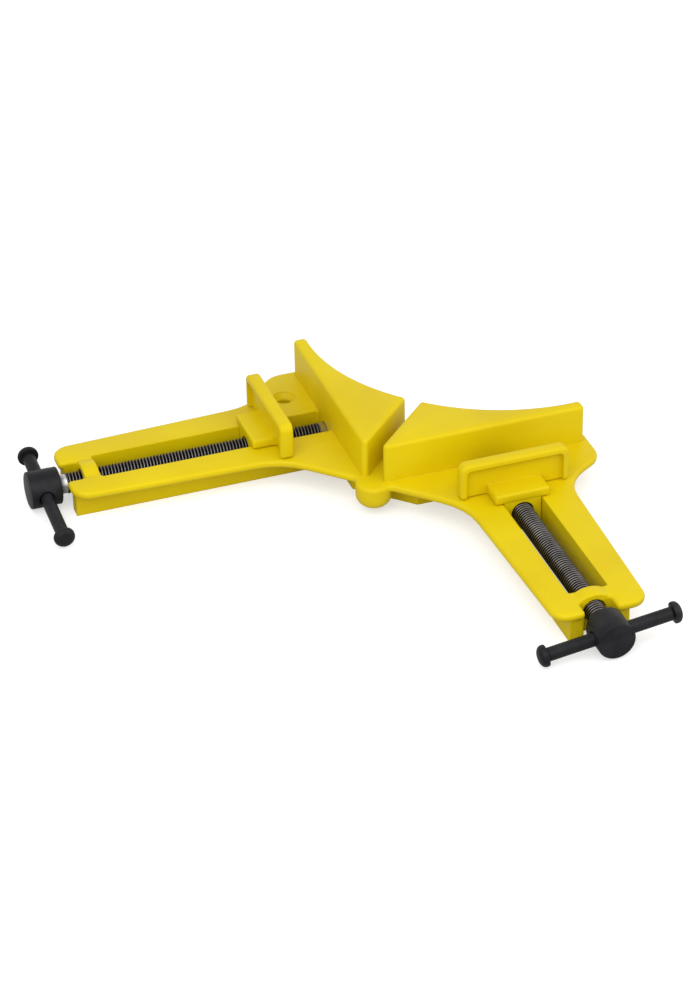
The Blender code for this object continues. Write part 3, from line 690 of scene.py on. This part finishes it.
class CLAMP_OT_fittings(bpy.types.Operator):
    """Finish the bushes, washers, pins and clips that hold the screws"""

    bl_idname = "clamp.fittings"
    bl_label = "Small fittings"

    def execute(self, context):
        fitting = context.scene.clamp.fitting
        steels = {"plain_steel": turned_steel("plain_turned_steel", tuple(fitting.steel)),
                  "spring_steel": turned_steel("dark_spring_steel", tuple(fitting.spring))}
        for side in SIDES:
            for node, name, body, slot in FITTINGS:
                link(skin_of(f"{side}_{node}"), f"{side}_{name}", steels[slot], f"{side}_{body}", slot,
                     f"{side}_{node}")
        return {"FINISHED"}


class CLAMP_OT_stage(bpy.types.Operator):
    """Set the pale floor, the soft lamps and the camera"""

    bl_idname = "clamp.stage"
    bl_label = "Stage"

    def execute(self, context):
        stage = context.scene.clamp.stage
        context.scene.view_settings.view_transform = "Standard"
        low = CAD_BOX[0][2]
        corners = ((-1, -1), (1, -1), (1, 1), (-1, 1))
        mesh = bpy.data.meshes.new("floor")
        mesh.from_pydata([(x * FLOOR_HALF, y * FLOOR_HALF, low) for x, y in corners], [], [(0, 1, 2, 3)])
        mesh.materials.append(self.floor_material(stage))
        floor = bpy.data.objects.new("floor", mesh)
        context.scene.collection.objects.link(floor)
        self.room(stage)
        self.lamp("key", KEY_AT, stage.key)
        self.lamp("fill", FILL_AT, stage.fill)
        self.camera(low)
        return {"FINISHED"}

    def floor_material(self, stage):
        """A matt grey floor that also glows for the camera, so that it looks white and keeps a shadow."""
        recipe = Recipe("pale_floor")
        recipe.finish(Base_Color=tuple(stage.floor), Roughness=0.9, Specular_IOR_Level=0.0)
        matt = recipe.shader.outputs[0]
        seen = recipe.node("ShaderNodeLightPath").outputs["Is Camera Ray"]
        glow = recipe.node("ShaderNodeEmission", None, {"Color": WHITE, "Strength": stage.glow}).outputs[0]
        both = recipe.node("ShaderNodeAddShader", None, {0: matt, 1: glow}).outputs[0]
        pick = recipe.node("ShaderNodeMixShader", None, {0: seen, 1: matt, 2: both}).outputs[0]
        recipe.feed(recipe.tree.nodes["Material Output"].inputs["Surface"], pick)
        return recipe.material

    def room(self, stage):
        """Even light all round, and white where the room is seen straight, mirrored or through glass."""
        world = bpy.data.worlds.new("room")
        bpy.context.scene.world = world
        world.use_nodes = True
        world.node_tree.nodes.clear()
        tree = Tree(world.node_tree)
        path = tree.node("ShaderNodeLightPath").outputs
        seen, through, mirrored = (Signal(tree, path[f"Is {kind} Ray"])
                                   for kind in ("Camera", "Transmission", "Glossy"))
        dim = tree.node("ShaderNodeBackground", None, {"Color": WHITE, "Strength": stage.sky}).outputs[0]
        white = tree.node("ShaderNodeBackground", None, {"Color": WHITE, "Strength": 1.0}).outputs[0]
        pick = tree.node("ShaderNodeMixShader", None,
                         {0: seen.either(through.either(mirrored)), 1: dim, 2: white}).outputs[0]
        tree.node("ShaderNodeOutputWorld", None, {"Surface": pick})

    def lamp(self, name, at, power):
        """A square soft lamp aimed at the object."""
        light = bpy.data.lights.new(name, "AREA")
        light.shape = "SQUARE"
        light.size = LAMP_SIZE
        light.energy = power
        lamp = bpy.data.objects.new(name, light)
        lamp.location = at
        lamp.rotation_euler = (-Vector(at)).to_track_quat("-Z", "Y").to_euler()
        bpy.context.scene.collection.objects.link(lamp)

    def camera(self, low):
        """The photographer's place: heading, elevation, roll, distance and lens, all fitted to the arms."""
        heading, rise, roll = (math.radians(angle) for angle in (HEADING, RISE, ROLL))
        flat = math.cos(rise)
        look = Vector((-math.sin(heading) * flat, math.cos(heading) * flat, -math.sin(rise)))
        right = Vector((math.cos(heading), math.sin(heading), 0.0))
        up = right.cross(look)
        x = right * math.cos(roll) + up * math.sin(roll)
        y = up * math.cos(roll) - right * math.sin(roll)
        at = Vector((0.0, 0.0, low)) - look * AWAY - x * SHIFT_X + y * SHIFT_Y
        data = bpy.data.cameras.new("photo_view")
        data.sensor_fit = "VERTICAL"
        data.sensor_height = FILM
        data.sensor_width = FILM
        data.lens = FILM * FOCAL_PIXELS / PHOTO_PIXELS
        data.clip_start = CLIP_NEAR
        data.clip_end = CLIP_FAR
        camera = bpy.data.objects.new("photo_view", data)
        turn = Matrix((x, y, -look)).transposed()
        camera.matrix_world = Matrix.Translation(at) @ turn.to_4x4()
        bpy.context.scene.collection.objects.link(camera)
        bpy.context.scene.camera = camera


class CLAMP_PT_panel(bpy.types.Panel):
    """The clamp's pieces and their settings"""

    bl_idname = "CLAMP_PT_panel"
    bl_label = "Corner clamp"
    bl_space_type = "VIEW_3D"
    bl_region_type = "UI"
    bl_category = "Clamp"

    def draw(self, context):
        settings = context.scene.clamp
        for part in settings.__annotations__:
            box = self.layout.box()
            group = getattr(settings, part)
            for name in group.__annotations__:
                box.prop(group, name)
        for operator in STEPS:
            self.layout.operator(operator.bl_idname)


GROUPS = (PaintSettings, ThreadSettings, BlackSettings, FittingSettings, StageSettings, ClampSettings)
STEPS = (CLAMP_OT_casting, CLAMP_OT_jaws, CLAMP_OT_screws, CLAMP_OT_hubs, CLAMP_OT_bars, CLAMP_OT_fittings,
         CLAMP_OT_stage)
CLASSES = (*GROUPS, *STEPS, CLAMP_PT_panel)


def register():
    """Makes the classes and the scene's settings known."""
    for cls in CLASSES:
        bpy.utils.register_class(cls)
    bpy.types.Scene.clamp = PointerProperty(type=ClampSettings)


def unregister():
    """Takes the settings and the classes away again."""
    del bpy.types.Scene.clamp
    for cls in reversed(CLASSES):
        bpy.utils.unregister_class(cls)


def main():
    """Makes every piece and the stage."""
    register()
    bpy.ops.clamp.casting()
    bpy.ops.clamp.jaws()
    bpy.ops.clamp.screws()
    bpy.ops.clamp.hubs()
    bpy.ops.clamp.bars()
    bpy.ops.clamp.fittings()
    bpy.ops.clamp.stage()


if __name__ == "__main__":
    main()
